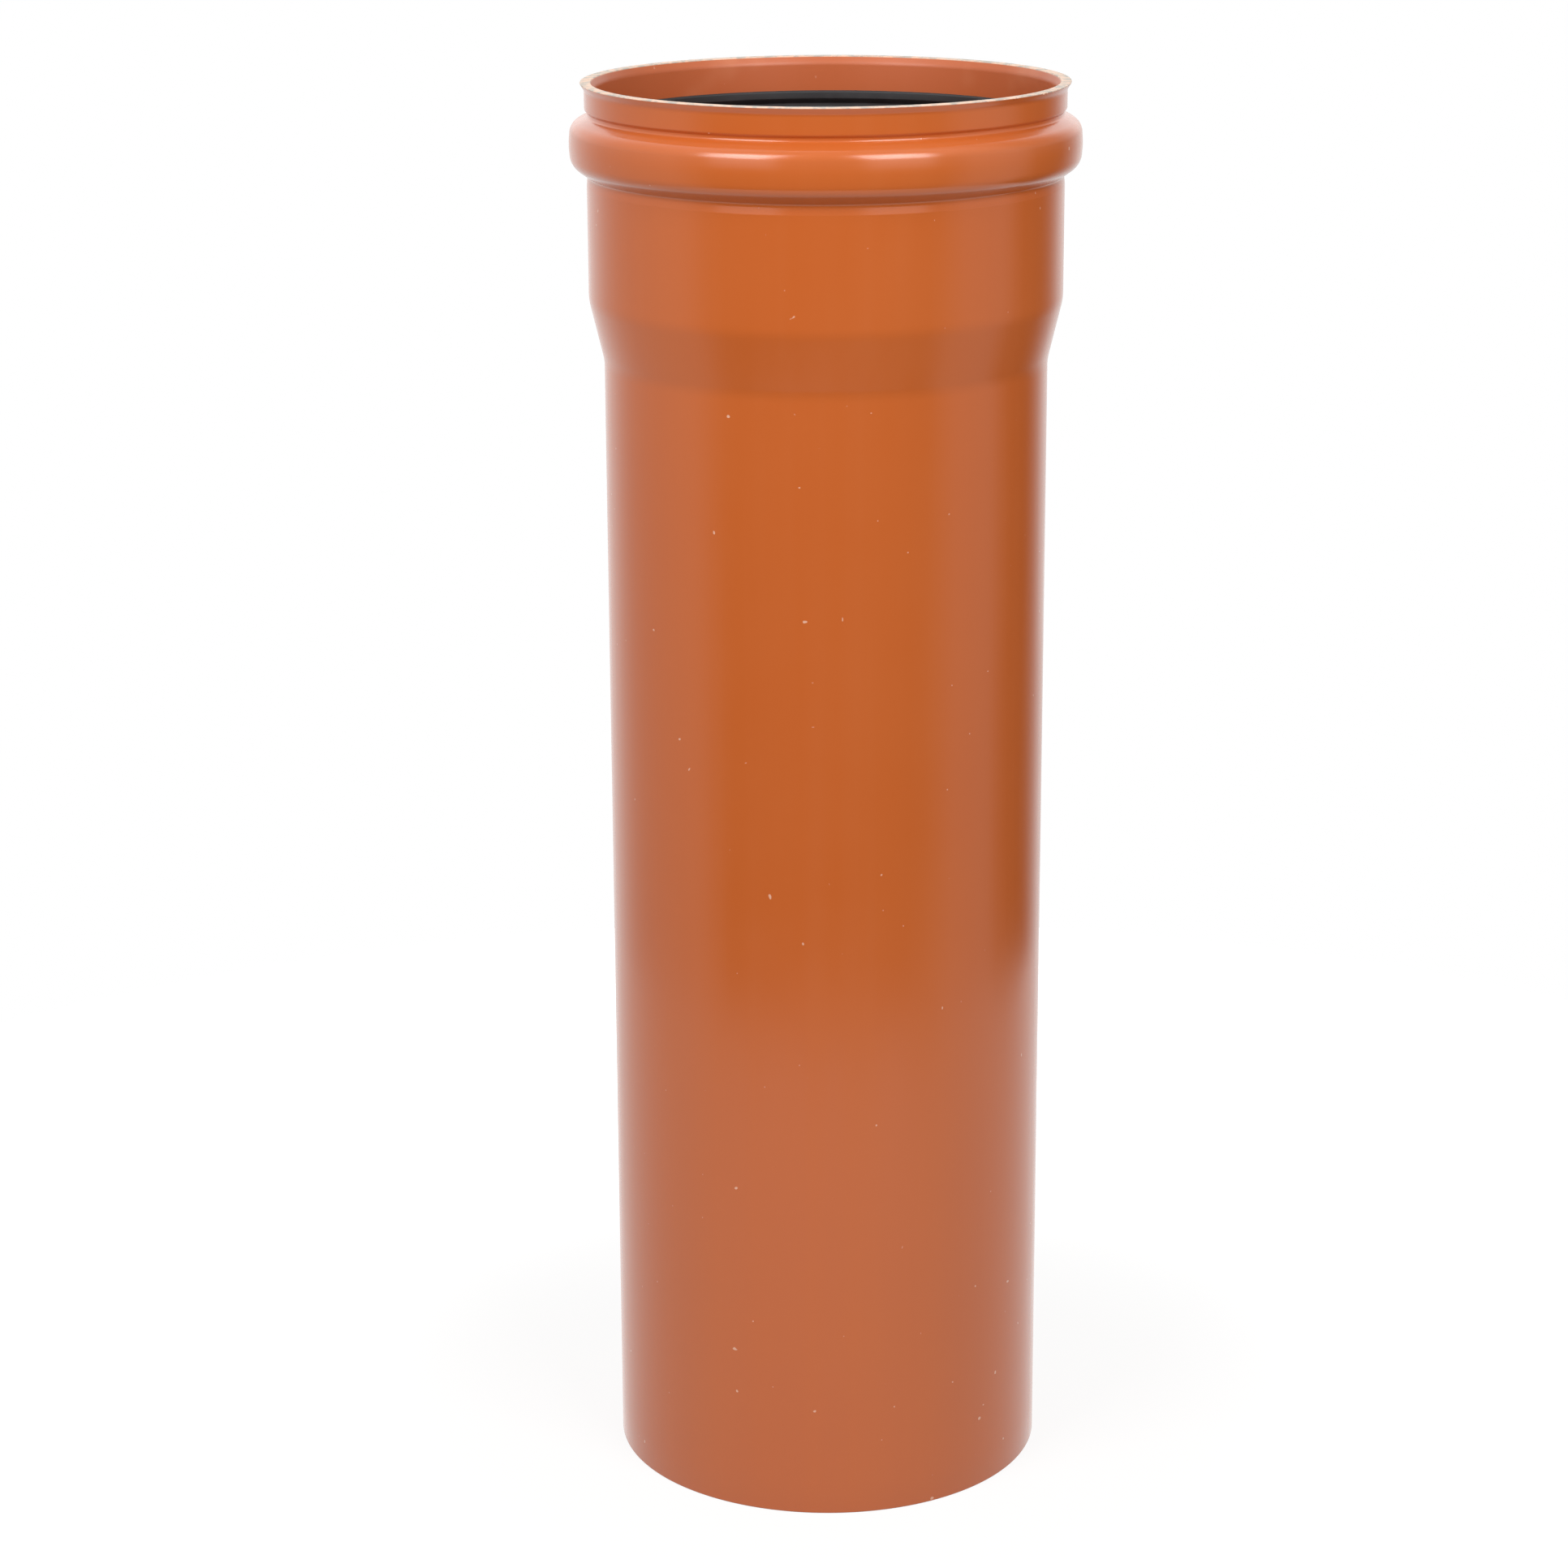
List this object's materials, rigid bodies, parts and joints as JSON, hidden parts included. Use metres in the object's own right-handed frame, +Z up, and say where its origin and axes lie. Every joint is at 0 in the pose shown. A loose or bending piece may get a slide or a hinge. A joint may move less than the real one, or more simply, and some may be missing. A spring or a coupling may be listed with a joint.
{
  "type": "pvc sewer pipe",
  "caption": "Short orange drain and sewer pipe with a plain spigot end and a formed socket that holds a black rubber lip seal.",
  "frame": {"origin": "centre of the spigot's end face, on the surface that the pipe stands on", "axes": "+Z up along the pipe's axis, from the spigot end to the socket's rim; X and Y are alike, because the pipe is round"},
  "size_m": [0.183, 0.1829, 0.52],
  "materials": {
    "orange_pvc": "extruded, smooth with a soft gloss",
    "black_rubber": "moulded, matt"
  },
  "bodies": {
    "root": {"pipe": "orange_pvc", "sealing_ring": "black_rubber"}
  },
  "joints": []
}
